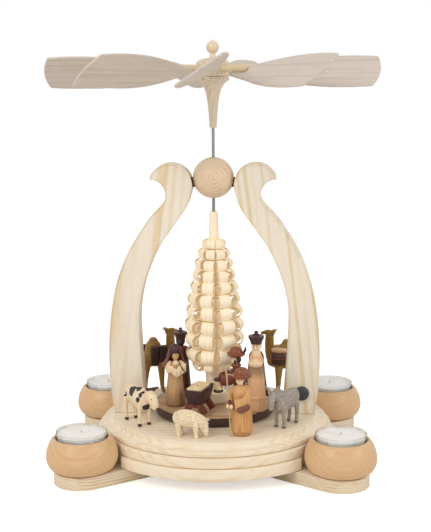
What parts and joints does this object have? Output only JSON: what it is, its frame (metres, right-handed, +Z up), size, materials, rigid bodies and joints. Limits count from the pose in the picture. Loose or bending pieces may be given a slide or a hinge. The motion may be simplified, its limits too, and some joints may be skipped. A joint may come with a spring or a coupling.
{
  "type": "candle carousel",
  "caption": "Tabletop wooden candle carousel: tealights in turned bowls drive a bladed impeller that turns a shaved tree and a figure turntable between two scroll-cut arches.",
  "frame": {"origin": "centre of the crossed foot boards' underside, on the shaft's axis, at table level", "axes": "+X to the right as seen from the front, +Y to the rear, +Z up along the shaft"},
  "size_m": [0.2694, 0.2673, 0.3494],
  "materials": {
    "foot_board": "fine sanded, clear matt",
    "base_disc": "fine sanded, clear matt",
    "base_drum": "fine sanded, clear matt",
    "stage": "fine sanded, clear matt",
    "thrust_cup": "turned",
    "arch": "fine sanded, clear matt",
    "dark_dowel": "stained",
    "seal_button": "satin",
    "ball": "turned and waxed",
    "bush": "turned",
    "bowl": "turned and waxed",
    "cup": "clear",
    "wax": "white paraffin",
    "wick": "waxed cotton",
    "shaft": "drawn wire",
    "turntable": "stained dark, satin",
    "inlay": "fine sanded, clear matt",
    "socket": "turned, untreated",
    "tree": "shaved, untreated",
    "hub": "turned, untreated",
    "finial": "turned and waxed",
    "blade": "thin board, untreated",
    "cow": "carved, dark patches stained",
    "sheep": "carved, untreated",
    "donkey": "stained grey",
    "camel": "stained brown, dark load",
    "shepherd": "turned and stained",
    "staff": "stained dark",
    "woman": "turned and stained",
    "left_king": "turned and stained",
    "right_king": "turned and stained",
    "gift_bearer": "turned and stained",
    "crib": "stained dark",
    "child": "untreated"
  },
  "bodies": {
    "stand": {"foot_board_lower": "foot_board", "foot_board_upper": "foot_board", "base_disc": "base_disc", "base_drum": "base_drum", "stage_plate": "stage", "thrust_cup": "thrust_cup", "arch_left": "arch", "arch_right": "arch", "arch_dowel_left": "dark_dowel", "arch_dowel_right": "dark_dowel", "seal_button": "seal_button", "bearing_ball": "ball", "ball_bush": "bush", "candle_bowl_front_right": "bowl", "candle_bowl_front_left": "bowl", "candle_bowl_rear_left": "bowl", "candle_bowl_rear_right": "bowl", "cow": "cow", "sheep": "sheep", "donkey": "donkey", "camel_left": "camel", "camel_right": "camel", "shepherd": "shepherd", "shepherd_staff": "staff"},
    "rotor": {"shaft": "shaft", "turntable_disc": "turntable", "turntable_inlay": "inlay", "tree_socket": "socket", "shaved_tree": "tree", "hub_funnel": "hub", "hub_head": "hub", "finial": "finial", "woman": "woman", "left_king": "left_king", "right_king": "right_king", "gift_bearer": "gift_bearer", "crib": "crib", "crib_child": "child"},
    "blade_1": {"blade_1": "blade"},
    "blade_2": {"blade_2": "blade"},
    "blade_3": {"blade_3": "blade"},
    "blade_4": {"blade_4": "blade"},
    "blade_5": {"blade_5": "blade"},
    "blade_6": {"blade_6": "blade"},
    "blade_7": {"blade_7": "blade"},
    "blade_8": {"blade_8": "blade"},
    "blade_9": {"blade_9": "blade"},
    "tealight_front_right": {"tealight_cup_front_right": "cup", "wax_front_right": "wax", "wick_front_right": "wick"},
    "tealight_front_left": {"tealight_cup_front_left": "cup", "wax_front_left": "wax", "wick_front_left": "wick"},
    "tealight_rear_left": {"tealight_cup_rear_left": "cup", "wax_rear_left": "wax", "wick_rear_left": "wick"},
    "tealight_rear_right": {"tealight_cup_rear_right": "cup", "wax_rear_right": "wax", "wick_rear_right": "wick"}
  },
  "joints": [
    {"name": "rotor_spin", "type": "hinge", "parent": "stand", "child": "rotor", "pos_m": [0, 0, 0.0351], "axis": [0, 0, 1], "continuous": true},
    {"name": "blade_1_pitch", "type": "hinge", "parent": "rotor", "child": "blade_1", "pos_m": [0, 0, 0.326], "axis": [-0.0384, -0.9993, 0], "range_deg": [-33, 57]},
    {"name": "blade_2_pitch", "type": "hinge", "parent": "rotor", "child": "blade_2", "pos_m": [0, 0, 0.326], "axis": [0.6129, -0.7902, 0], "range_deg": [-33, 57]},
    {"name": "blade_3_pitch", "type": "hinge", "parent": "rotor", "child": "blade_3", "pos_m": [0, 0, 0.326], "axis": [0.9774, -0.2113, 0], "range_deg": [-33, 57]},
    {"name": "blade_4_pitch", "type": "hinge", "parent": "rotor", "child": "blade_4", "pos_m": [0, 0, 0.326], "axis": [0.8846, 0.4664, 0], "range_deg": [-33, 57]},
    {"name": "blade_5_pitch", "type": "hinge", "parent": "rotor", "child": "blade_5", "pos_m": [0, 0, 0.326], "axis": [0.3778, 0.9259, 0], "range_deg": [-33, 57]},
    {"name": "blade_6_pitch", "type": "hinge", "parent": "rotor", "child": "blade_6", "pos_m": [0, 0, 0.326], "axis": [-0.3057, 0.9521, 0], "range_deg": [-33, 57]},
    {"name": "blade_7_pitch", "type": "hinge", "parent": "rotor", "child": "blade_7", "pos_m": [0, 0, 0.326], "axis": [-0.8462, 0.5329, 0], "range_deg": [-33, 57]},
    {"name": "blade_8_pitch", "type": "hinge", "parent": "rotor", "child": "blade_8", "pos_m": [0, 0, 0.326], "axis": [-0.9907, -0.1357, 0], "range_deg": [-33, 57]},
    {"name": "blade_9_pitch", "type": "hinge", "parent": "rotor", "child": "blade_9", "pos_m": [0, 0, 0.326], "axis": [-0.6717, -0.7408, 0], "range_deg": [-33, 57]},
    {"name": "tealight_front_right_lift", "type": "slide", "parent": "stand", "child": "tealight_front_right", "axis": [0, 0, 1], "range_m": [0, 0.03]},
    {"name": "tealight_front_left_lift", "type": "slide", "parent": "stand", "child": "tealight_front_left", "axis": [0, 0, 1], "range_m": [0, 0.03]},
    {"name": "tealight_rear_left_lift", "type": "slide", "parent": "stand", "child": "tealight_rear_left", "axis": [0, 0, 1], "range_m": [0, 0.03]},
    {"name": "tealight_rear_right_lift", "type": "slide", "parent": "stand", "child": "tealight_rear_right", "axis": [0, 0, 1], "range_m": [0, 0.03]}
  ]
}
